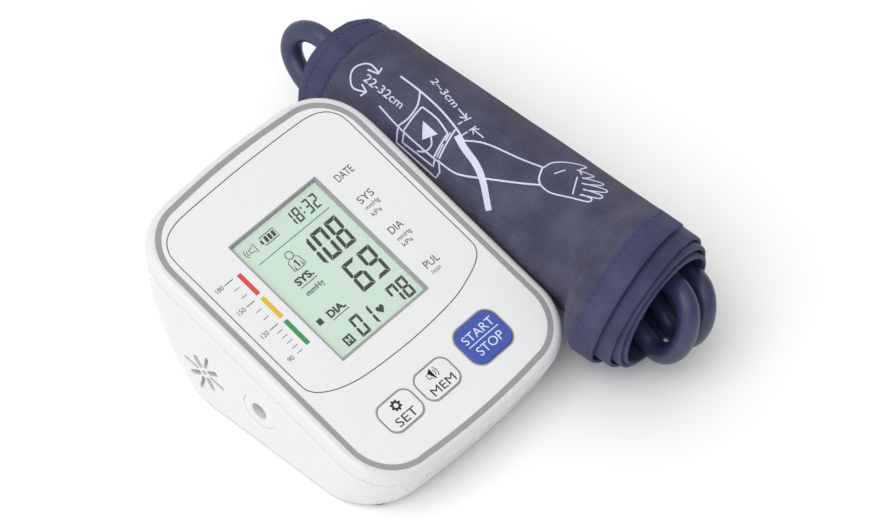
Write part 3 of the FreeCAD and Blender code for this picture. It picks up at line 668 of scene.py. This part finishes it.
def roll(t, y, depth):
    """Layout position on the spiral: degrees along it from the free edge, along the roll, and
    depth below its outside."""
    a = FREE_EDGE + t
    i = 0 if a < 180 else int(a // 180)
    f = bulge(y)
    cx, cz = roll_centre(y)
    loose = 3.2 * step(1240, 1410, t)
    r = ROLL_R - i * PITCH / 2 - depth + FLARE * f - loose
    lift = step(48, 74, abs(y - 2)) * step(0, 120, t)
    r += 0.24 * lift * math.sin(math.radians(t * 0.61 + 40)) - 0.3 * f * step(300, 460, t)
    ar = math.radians(a)
    r += crease(ar, y)
    shift = PITCH / 2 if i % 2 else 0.0
    return (cx - shift + r * math.cos(ar), y, cz + r * math.sin(ar))


def lean(t, y):
    """Height of a point across the roll as the ends are cut, for the slanting ends."""
    x, _, z = roll(t, y, 0.9)
    cx, cz = roll_centre(y)
    return END_LEAN[0] * (x - cx) + END_LEAN[1] * (z - cz)


def front_edge(t):
    """Where the cloth ends at the front: each turn stands a little further out than the last."""
    y = -67 - 6 * step(190, 350, t) - 3.6 * step(550, 710, t)
    y = y - 1.2 * step(910, 1070, t) - 0.4 * step(1270, 1400, t)
    w = lean(t, y)
    y -= (0.228 - 0.09 * step(550, 710, t)) * max(0.0, w) + 0.125 * min(0.0, w)
    uneven = 0.25 * math.sin(math.radians(t * 2.3))
    return y + 0.5 * noise.noise(Vector((t * 0.011, 2.0, 0.5))) + uneven


def back_edge(t):
    """Where the cloth ends at the back, likewise."""
    y = 63.5 + 11.5 * step(190, 350, t) + 2 * step(550, 710, t) + 1.5 * step(910, 1070, t)
    y += 0.12 * lean(t, y)
    return y + 0.5 * noise.noise(Vector((t * 0.011, 9.0, 1.5)))


END_THINNING = 0.35     # thickness of a strip at its two ends, against elsewhere


def strip(name, t0, t1, y_from, y_to, d0, d1, material, t_step, y_step, nose, ridge=None):
    """A closed strip of cloth on the spiral from t0 to t1, between two edges that depend on t,
    with edges rounded over nose. d0 and d1 are the depths of its outer and inner faces."""
    count = max(3, int(round((t1 - t0) / t_step)))
    half = (d1 - d0) / 2
    mid = (d0 + d1) / 2
    spans = max(2, int(round((y_to(t0) - y_from(t0)) / y_step)))
    corner = [(math.cos(math.radians(a)), math.sin(math.radians(a))) for a in (60, 20, -20, -60)]
    verts, uvs, faces = [], [], []
    for k in range(count + 1):
        t = t0 + (t1 - t0) * k / count
        cap = END_THINNING if k in (0, count) else 1.0
        ya, yb = y_from(t), y_to(t)
        loop = []
        for j in range(spans + 1):
            loop.append((ya + nose + (yb - ya - 2 * nose) * j / spans, -half))
        for ca, sa in corner:
            loop.append((yb - nose + nose * ca, -half * sa))
        for j in range(spans, -1, -1):
            loop.append((ya + nose + (yb - ya - 2 * nose) * j / spans, half))
        for ca, sa in reversed(corner):
            loop.append((ya + nose - nose * ca, -half * sa))
        ring = len(loop)
        length = math.radians(t) * (ROLL_R - t / 360.0)
        for y, d in loop:
            extra = ridge(t) if ridge and d < 0 else 0.0
            verts.append(row(*roll(t, y, mid + d * cap - extra)))
            uvs.append((y, length))
    for k in range(count):
        for j in range(ring):
            n = (j + 1) % ring
            faces.append((k * ring + j, k * ring + n, (k + 1) * ring + n, (k + 1) * ring + j))
    faces.append(tuple(range(ring)))
    faces.append(tuple(range(count * ring, (count + 1) * ring)))
    return mesh_object(name, verts, faces, material, uvs=uvs)


CLOTH_DEPTH = 0.12      # of the cloth's outer face
FRONT_HEM_DEPTH, REAR_HEM_DEPTH = -0.05, -0.02
HEM = 10.5              # width of the bound edges
HEM_LAP = 1.5           # how far the cloth runs under them


def front_inner(t):
    return front_edge(t) + HEM


def back_inner(t):
    return back_edge(t) - (HEM if t > 200 else 0.0) * step(200, 240, t)


def body_front(t):
    return front_edge(t) + HEM - HEM_LAP


def body_back(t):
    return back_edge(t) - (HEM - HEM_LAP) * step(200, 240, t)


cuff = strip("cuff_cloth", 0, T_END, body_front, body_back, CLOTH_DEPTH, 1.36, cloth,
             4.0, 2.0, 0.6)
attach(cuff, "cuff")
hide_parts("cuff_cover", "cuff_lining", "bladder", "loop_patch", "hook_patch", "ring_hem")


def puff(t):
    """Small irregular swellings along the bound edges."""
    return 0.05 * math.sin(t * 0.35) * math.sin(t * 0.11)


hem_front = strip("front_binding", 0, T_END, front_edge, front_inner, FRONT_HEM_DEPTH, 1.46,
                  band_cloth, 3.0, 1.4, 0.75, puff)
hem_back = strip("rear_binding", 245, T_END, back_inner, back_edge, REAR_HEM_DEPTH, 1.5,
                 band_cloth, 3.0, 1.4, 0.75, puff)
for piece, node in ((hem_front, "front_hem"), (hem_back, "rear_hem")):
    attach(piece, "cuff")
    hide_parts(node)


STITCH_PITCH, STITCH_LONG, STITCH_WIDE = 2.6, 1.9, 0.34
SEAM_INSET, EDGE_INSET = 1.6, 2.4       # of the stitches from a hem's inner and outer edges


def stitches(name, t0, t1, where, depth):
    """A row of stitches as small raised threads along the spiral, at the y that where gives."""
    verts, faces, uv = [], [], []
    rows = 6
    t = t0
    while t < t1:
        r = ROLL_R - t / 360 * PITCH
        t_far = t + math.degrees(STITCH_LONG / r)
        y_near, y_far = where(t), where(t_far)
        base = len(verts)
        for k in range(rows + 1):
            f = k / rows
            tk = t + (t_far - t) * f
            y = y_near + (y_far - y_near) * f
            h = depth - 0.13 * math.sin(math.pi * f) ** 0.5 if 0 < f < 1 else depth + 0.1
            for q in range(6):
                c = math.cos(math.pi * q / 3) * STITCH_WIDE / 2
                s = math.sin(math.pi * q / 3) * STITCH_WIDE / 2 * 0.7
                verts.append(row(*roll(tk, y + c, h - s)))
                uv.append((y, tk))
        for k in range(rows):
            for q in range(6):
                a, b = base + k * 6 + q, base + k * 6 + (q + 1) % 6
                faces.append((a, b, b + 6, a + 6))
        faces.append(tuple(base + q for q in range(6)))
        faces.append(tuple(base + rows * 6 + q for q in range(6)))
        t += math.degrees(STITCH_PITCH / r)
    return mesh_object(name, verts, faces, thread, uvs=uv)


rows_of_thread = [
    stitches("thread_a", 3, T_END - 5, lambda t: front_inner(t) - SEAM_INSET, FRONT_HEM_DEPTH),
    stitches("thread_c", 250, T_END - 5, lambda t: back_inner(t) + SEAM_INSET, REAR_HEM_DEPTH),
    stitches("thread_d", 250, T_END - 5, lambda t: back_edge(t) - EDGE_INSET, REAR_HEM_DEPTH),
]
stitching = join("stitching", rows_of_thread)
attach(stitching, "cuff")


# ---------------------------------------------------------------- guide printed on the cuff
INK_LOW, INK_HIGH = -0.03, 0.05
DEG_PER_MM = 180 / math.pi / ROLL_R


def on_cuff(angle, y, h):
    """Row position at an angle round the roll, a place along it and a height over the cloth."""
    return row(*roll(angle - FREE_EDGE, y, CLOTH_DEPTH - h))


def cuff_stroke(points, width, smooth=True):
    """A printed line through (angle, y) points; the width is in mm."""
    flat = [(p[1], p[0] / DEG_PER_MM) for p in points]
    if smooth:
        flat = smooth_line(flat, 8)
    dense = []
    for i in range(len(flat) - 1):
        a, b = Vector(flat[i]), Vector(flat[i + 1])
        n = max(1, int((b - a).length / 1.2))
        dense += [tuple(a.lerp(b, j / n)) for j in range(n)]
    dense.append(flat[-1])
    n = len(dense)
    left, right = [], []
    for i, (x, y) in enumerate(dense):
        a = dense[max(0, i - 1)]
        b = dense[min(n - 1, i + 1)]
        d = Vector((b[0] - a[0], b[1] - a[1]))
        d.normalize()
        left.append((x - d.y * width / 2, y + d.x * width / 2))
        right.append((x + d.y * width / 2, y - d.x * width / 2))
    verts, uv, faces = [], [], []
    for (lx, ly), (rx, ry) in zip(left, right):
        for x, y, h in ((lx, ly, INK_HIGH), (rx, ry, INK_HIGH), (rx, ry, INK_LOW),
                        (lx, ly, INK_LOW)):
            verts.append(on_cuff(y * DEG_PER_MM, x, h))
            uv.append((x, y))
    for i in range(n - 1):
        for q in range(4):
            w = (q + 1) % 4
            faces.append((i * 4 + q, i * 4 + w, i * 4 + 4 + w, i * 4 + 4 + q))
    faces.append((0, 1, 2, 3))
    faces.append(tuple((n - 1) * 4 + q for q in range(4)))
    return mesh_object("guide_line", verts, faces, print_cloth, smooth=False, uvs=uv)


def cuff_fill(a, b, c, n=10):
    """A solid printed triangle of (angle, y) corners, in small facets that follow the roll."""
    verts, faces, index = [], [], {}
    a, b, c = Vector(a), Vector(b), Vector(c)
    for h in (INK_HIGH, INK_LOW):
        for i in range(n + 1):
            for j in range(n + 1 - i):
                p = a + (b - a) * i / n + (c - a) * j / n
                index[h, i, j] = len(verts)
                verts.append(on_cuff(p.x, p.y, h))
    for h in (INK_HIGH, INK_LOW):
        for i in range(n):
            for j in range(n - i):
                faces.append((index[h, i, j], index[h, i + 1, j], index[h, i, j + 1]))
                if i + j < n - 1:
                    faces.append((index[h, i + 1, j], index[h, i + 1, j + 1], index[h, i, j + 1]))
    rim = [(i, 0) for i in range(n)] + [(n - i, i) for i in range(n)]
    rim += [(0, n - i) for i in range(n)]
    for k, p in enumerate(rim):
        q = rim[(k + 1) % len(rim)]
        faces.append((index[(INK_HIGH, *p)], index[(INK_HIGH, *q)], index[(INK_LOW, *q)],
                      index[(INK_LOW, *p)]))
    flat = [(0, 0)] * len(verts)
    return mesh_object("guide_fill", verts, faces, print_cloth, smooth=False, uvs=flat)


def cuff_text(text, angle, y, height, width, turn):
    """Lettering wrapped on the roll, reading along the roll towards the front."""
    ca, sa = math.cos(math.radians(turn)), math.sin(math.radians(turn))

    def place(x, z, h):
        along = -(x * ca - z * sa)
        up = x * sa + z * ca
        return on_cuff(angle - up * DEG_PER_MM, y + along, h)

    return lettering(text, 0, 0, height, width, place, INK_LOW, INK_HIGH + 0.01, "guide_text",
                     print_cloth, 0.012)


LINE = 0.62             # stroke of the guide


def curved(points, share=1.0):
    return cuff_stroke(points, LINE * share)


def straight(points, share=1.0):
    return cuff_stroke(points, LINE * share, False)


guide = [
    curved([(98, 45.2), (99, 35.6), (102, 25.8), (107.5, 16.4), (112.5, 11.2)], 1.15),
    curved([(112.5, 11.2), (104, 4.0), (98, -9.3), (93, -17.7)]),
    curved([(128, 44.4), (133, 34.5), (136, 25.4), (138, 16.7), (138, 13.8)]),
    curved([(138, 13.8), (137.5, 6.0), (127, -4.4), (115, -15.2), (107, -21.3)]),
    curved([(99.5, 35.6), (110, 32.9), (122, 32.6), (133, 34.4)]),
    curved([(109, 31.2), (110, 24), (115, 17.4)]),
    straight([(115, 17.4), (137, 16.9)]),
    straight([(109, 31.2), (133, 31.7)]),
    straight([(109, 16.1), (136, 14.9)]),
    straight([(113, 16.8), (121, 16.5)], 0.8),
    straight([(124, 16.4), (136, 15.9)], 0.8),
    straight([(134, 34.1), (145, 32.1), (151, 12.9), (145, 12.4), (137, 14.7)]),
    straight([(135, 31.1), (142, 30.1), (144, 15.6), (138, 16.3)]),
    cuff_stroke([(112, 14.2), (117, 9.4), (123, 1.8), (132, -4.1), (148, -10.4)], 2.5),
    cuff_fill((118, 27.6), (120, 20.2), (131, 23.9)),
    curved([(124, 22.1), (130, 20.0), (137, 20.7), (141, 23.6)]),
    curved([(106, 52.3), (104, 56.2), (107, 58.9), (115, 60.6), (123, 59.4), (128, 56.4),
            (125, 51.6)]),
    straight([(101, 52.6), (107, 52.0), (109, 56.2)]),
    straight([(130, 52.6), (124.5, 51.4), (121.5, 54.6)]),
    cuff_text("22-32cm", 118.5, 55.2, 3.2, 18.0, -3),
    cuff_text("2~3cm", 86.0, 36.4, 3.0, 14.6, -14),
    straight([(92.5, 20.8), (95.5, 16.0)], 0.8),
    straight([(92.0, 17.6), (95.5, 15.9), (98.0, 18.2)], 0.8),
    straight([(92.5, 14.9), (98.5, 16.0)], 0.8),
    straight([(100, 16.2), (104, 16.7)], 0.8),
    straight([(104.5, 12.2), (110, 12.9)], 0.8),
    straight([(96.5, 11.3), (103, 12.0)], 0.8),
    straight([(100, 11.6), (101, 6.2)], 0.8),
    straight([(97.0, 9.6), (100, 11.6), (103.5, 9.9)], 0.8),
    curved([(94, -17.5), (103, -19.3), (107, -21.5)]),
    curved([(93, -17.7), (84, -18.5), (74, -22.1), (66, -26.9), (74, -26.9), (77.5, -29.0)], 0.85),
    curved([(76, -26.2), (71, -31.6), (74, -31.8), (80, -30.6)], 0.8),
    curved([(80, -30.0), (72.5, -36.0), (75.5, -36.6), (84.5, -32.6)], 0.8),
    curved([(85, -31.6), (76.5, -38.9), (80, -39.6), (89.5, -34.0)], 0.8),
    curved([(89, -33.6), (84, -39.9), (88, -40.2), (95, -34.4)], 0.8),
    curved([(94, -34.6), (92, -38.4), (96, -38.4), (101, -33.2), (107.5, -26.0), (107, -21.3)], 0.85),
    straight([(82, -28.6), (98, -32.4)], 0.8),
    straight([(92, -22.1), (83, -23.7)], 0.8),
]
guide = join("printed_guide", guide)
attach(guide, "cuff")


# ---------------------------------------------------------------- slide ring
def warped(x, y, z):
    """Where a point inside the roll goes as the roll opens at its front end."""
    f = bulge(y)
    a = math.atan2(z - ROLL_Z, x - ROLL_X)
    r = math.hypot(x - ROLL_X, z - ROLL_Z) + FLARE * f
    cx, cz = roll_centre(y)
    return row(cx + r * math.cos(a), y, cz + r * math.sin(a))


def wire_loop(name, points, radius, material, sides=12):
    """A closed loop of round wire through points in metres."""
    verts, faces = [], []
    n = len(points)
    up = Vector((0.3, 0.1, 1)).normalized()
    for i, p in enumerate(points):
        d = (points[(i + 1) % n] - points[(i - 1) % n]).normalized()
        side = d.cross(up).normalized()
        up = side.cross(d).normalized()
        for q in range(sides):
            w = 2 * math.pi * q / sides
            verts.append(p + radius * (side * math.cos(w) + up * math.sin(w)))
    for i in range(n):
        for q in range(sides):
            w = (q + 1) % sides
            j = (i + 1) % n
            faces.append((i * sides + q, i * sides + w, j * sides + w, j * sides + q))
    return mesh_object(name, verts, faces, material)


RING_BARS = ((14.5, 28.0), (15.2, 78.1))    # radius and angle of the two long bars, in the roll
RING_ENDS = (-74.0, 66.0)
RING_CORNER = 3.0
RING_WIRE = 0.0011                          # radius, in metres


def ring_path():
    """Points round the ring: up one bar, across the back, down the other and across the front."""
    spots = []
    for radius, angle in RING_BARS:
        a = math.radians(angle)
        spots.append((ROLL_X + radius * math.cos(a), ROLL_Z + radius * math.sin(a)))
    y0, y1 = RING_ENDS
    c = RING_CORNER
    bar = [y0 + c + (y1 - y0 - 2 * c) * k / 44 for k in range(45)]
    pts = [(spots[0][0], y, spots[0][1]) for y in bar]
    for end, sign, here, there in ((y1, 1, spots[0], spots[1]), (y0, -1, spots[1], spots[0])):
        (xa, za), (xb, zb) = here, there
        d = math.hypot(xb - xa, zb - za)
        for a in (30, 60, 90):
            s = c - c * math.cos(math.radians(a))
            y = end - sign * (c - c * math.sin(math.radians(a)))
            pts.append((xa + (xb - xa) * s / d, y, za + (zb - za) * s / d))
        for f in (0.4, 0.6):
            pts.append((xa + (xb - xa) * f, end, za + (zb - za) * f))
        for a in (90, 60, 30):
            s = c - c * math.cos(math.radians(a))
            y = end - sign * (c - c * math.sin(math.radians(a)))
            pts.append((xb + (xa - xb) * s / d, y, zb + (za - zb) * s / d))
        if end == y1:
            pts += [(spots[1][0], y, spots[1][1]) for y in reversed(bar)]
    return [warped(*p) for p in pts]


ring = wire_loop("slide_ring_wire", ring_path(), RING_WIRE, ring_metal)
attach(ring, "slide_ring")
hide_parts("slide_ring")


# ---------------------------------------------------------------- loose folds inside the roll
def fold(name, section, y0, y1, thick=0.9):
    """A loose inner flap of the lining, given by its section across the roll."""
    line = smooth_line(section, 6)
    n = len(line)
    rows = 26
    verts, faces, uvs = [], [], []
    section_outline = ribbon(line, thick)[0]
    m = len(section_outline)
    for k in range(rows + 1):
        f = k / rows
        for j, (x, z) in enumerate(section_outline):
            i = j if j < n else 2 * n - 1 - j
            g = i / (n - 1)
            y = y0 + (y1 - y0) * f - (1 - f) * 5.0 * g * (1 - 0.5 * g)
            wave = 0.5 * math.sin(f * 9 + g * 3) * g
            verts.append(warped(x + wave * 0.4, y, z + wave))
            uvs.append((y, g * 20))
    for k in range(rows):
        for j in range(m):
            w = (j + 1) % m
            faces.append((k * m + j, k * m + w, (k + 1) * m + w, (k + 1) * m + j))
    faces.append(tuple(range(m)))
    faces.append(tuple(range(rows * m, (rows + 1) * m)))
    piece = mesh_object(name, verts, faces, band_cloth, uvs=uvs)
    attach(piece, "cuff")
    return piece


left_section = [(60.6, 31.0), (62.8, 33.2), (64.4, 31.4), (63.4, 29.6)]
low_section = [(71.5, 11.0), (72.2, 14.2), (73.6, 17.4), (73.2, 20.4), (74.4, 23.4)]
folds = [fold("inner_fold_left", left_section, -69.0, -10.0),
         fold("inner_fold_low", low_section, -67.0, -10.0)]

# ---------------------------------------------------------------- hose
# The hose's route: out of the front of the roll and back in, through it, out of the back and
# in again, and a second loop out of the front, to the plug inside.
HOSE = [
    (70.0, -50.0, 35.6), (70.9, -61.0, 36.3), (71.4, -71.5, 38.5), (69.9, -80.5, 39.5),
    (67.2, -87.0, 37.0), (64.6, -89.0, 29.6), (63.4, -87.4, 21.0), (62.4, -83.6, 14.4),
    (62.2, -77.6, 11.4), (63.6, -69.5, 14.8), (65.4, -59.0, 15.8), (66.4, -42.0, 15.9),
    (66.1, -16.0, 15.5), (66.9, 14.0, 16.1), (66.2, 42.0, 15.6), (65.6, 60.0, 16.4),
    (63.9, 75.0, 19.0), (64.4, 86.0, 23.4), (66.6, 93.6, 29.2), (69.2, 93.4, 37.0),
    (70.8, 86.0, 41.6), (71.2, 75.0, 39.4), (71.5, 57.0, 35.6), (71.2, 30.0, 34.8),
    (73.4, 2.0, 33.2), (77.8, -22.0, 30.8), (80.2, -42.0, 29.0), (80.8, -56.0, 29.2),
    (82.2, -67.0, 30.6), (82.2, -76.0, 32.2), (79.0, -83.6, 33.0), (75.9, -87.2, 27.6),
    (74.0, -86.8, 19.4), (73.0, -82.6, 11.8), (73.4, -76.4, 9.8), (75.6, -68.0, 14.4),
    (78.4, -58.6, 15.9), (80.2, -48.0, 15.7), (79.9, -30.0, 15.2), (80.3, -6.0, 15.7),
    (79.8, 16.0, 15.6), (79.4, 34.0, 16.8), (78.4, 46.0, 18.2),
]
curve = bpy.data.curves.new("hose_line", "CURVE")
curve.dimensions = "3D"
line = curve.splines.new("NURBS")
line.points.add(len(HOSE) - 1)
for point, spot in zip(line.points, HOSE):
    point.co = (*row(*spot), 1)
line.order_u = 3
line.use_endpoint_u = True
curve.resolution_u = 10
curve.bevel_depth = 0.0038
curve.bevel_resolution = 8
curve.use_fill_caps = True
curve.materials.append(hose_mat)
hose = bpy.data.objects.new("air_hose", curve)
bpy.context.scene.collection.objects.link(hose)
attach(hose, "cuff")
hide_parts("hose")

# ---------------------------------------------------------------- stage, light and camera
floor_mat = Mat("stage_floor", (1.0, 1.0, 1.0), 0.8)
floor_mat.bump(floor_mat.noise(0.4, 3), 0.02, 0.1)
REACH, FLOOR_Z = 12, -0.0002
floor_corners = [(x * REACH, y * REACH, FLOOR_Z) for x, y in ((-1, -1), (1, -1), (1, 1), (-1, 1))]
floor = mesh_object("stage_floor", floor_corners, [(0, 1, 2, 3)], floor_mat.m, smooth=False)

# The room is white, and darker towards the part's front right.
DARK_SIDE = (0.67, -0.74, 0.0)
BRIGHT, DARK = 0.93, 0.36
world = bpy.data.worlds.new("studio")
world.use_nodes = True
sky = world.node_tree
toward = sky.nodes.new("ShaderNodeVectorMath")
toward.operation = "DOT_PRODUCT"
toward.inputs[1].default_value = DARK_SIDE
sky.links.new(sky.nodes.new("ShaderNodeTexCoord").outputs["Generated"], toward.inputs[0])
level = sky.nodes.new("ShaderNodeMapRange")
level.inputs["From Min"].default_value = -0.1
level.inputs["From Max"].default_value = 0.9
level.inputs["To Min"].default_value = BRIGHT
level.inputs["To Max"].default_value = DARK
sky.links.new(toward.outputs["Value"], level.inputs["Value"])
sky.links.new(level.outputs["Result"], sky.nodes["Background"].inputs["Color"])
bpy.context.scene.world = world


LIGHT_AIM = (0, 0, 0.02)


def area(name, spot, size, power):
    """A square lamp aimed at the part."""
    data = bpy.data.lights.new(name, "AREA")
    data.shape = "RECTANGLE"
    data.size = size
    data.size_y = size
    data.energy = power
    lamp = bpy.data.objects.new(name, data)
    bpy.context.scene.collection.objects.link(lamp)
    lamp.location = spot
    lamp.rotation_euler = (Vector(LIGHT_AIM) - Vector(spot)).to_track_quat("-Z", "Y").to_euler()


area("key_light", (-0.8, -0.1, 1.2), 1.2, 9.0)
area("fill_light", (0.3, 0.2, 1.6), 1.5, 1.0)

CAMERA_SPOT = (-0.698407, -0.65245, 1.18689)
CAMERA_RIGHT = (0.67409, -0.73865, 0.0)
CAMERA_UP = (0.56996, 0.52014, 0.63608)
CAMERA_BACK = (-0.46984, -0.42877, 0.77162)
FOCAL_LENGTH = 186.46
camera_data = bpy.data.cameras.new("camera")
camera_data.sensor_width = 36.0
camera_data.lens = FOCAL_LENGTH
camera_data.clip_start = 0.05
camera_data.clip_end = 60
camera_data.dof.use_dof = False
camera = bpy.data.objects.new("camera", camera_data)
bpy.context.scene.collection.objects.link(camera)
turn = Matrix((CAMERA_RIGHT, CAMERA_UP, CAMERA_BACK)).transposed()
camera.matrix_world = Matrix.Translation(CAMERA_SPOT) @ turn.to_4x4()
bpy.context.scene.camera = camera
bpy.context.scene.view_settings.view_transform = "Standard"
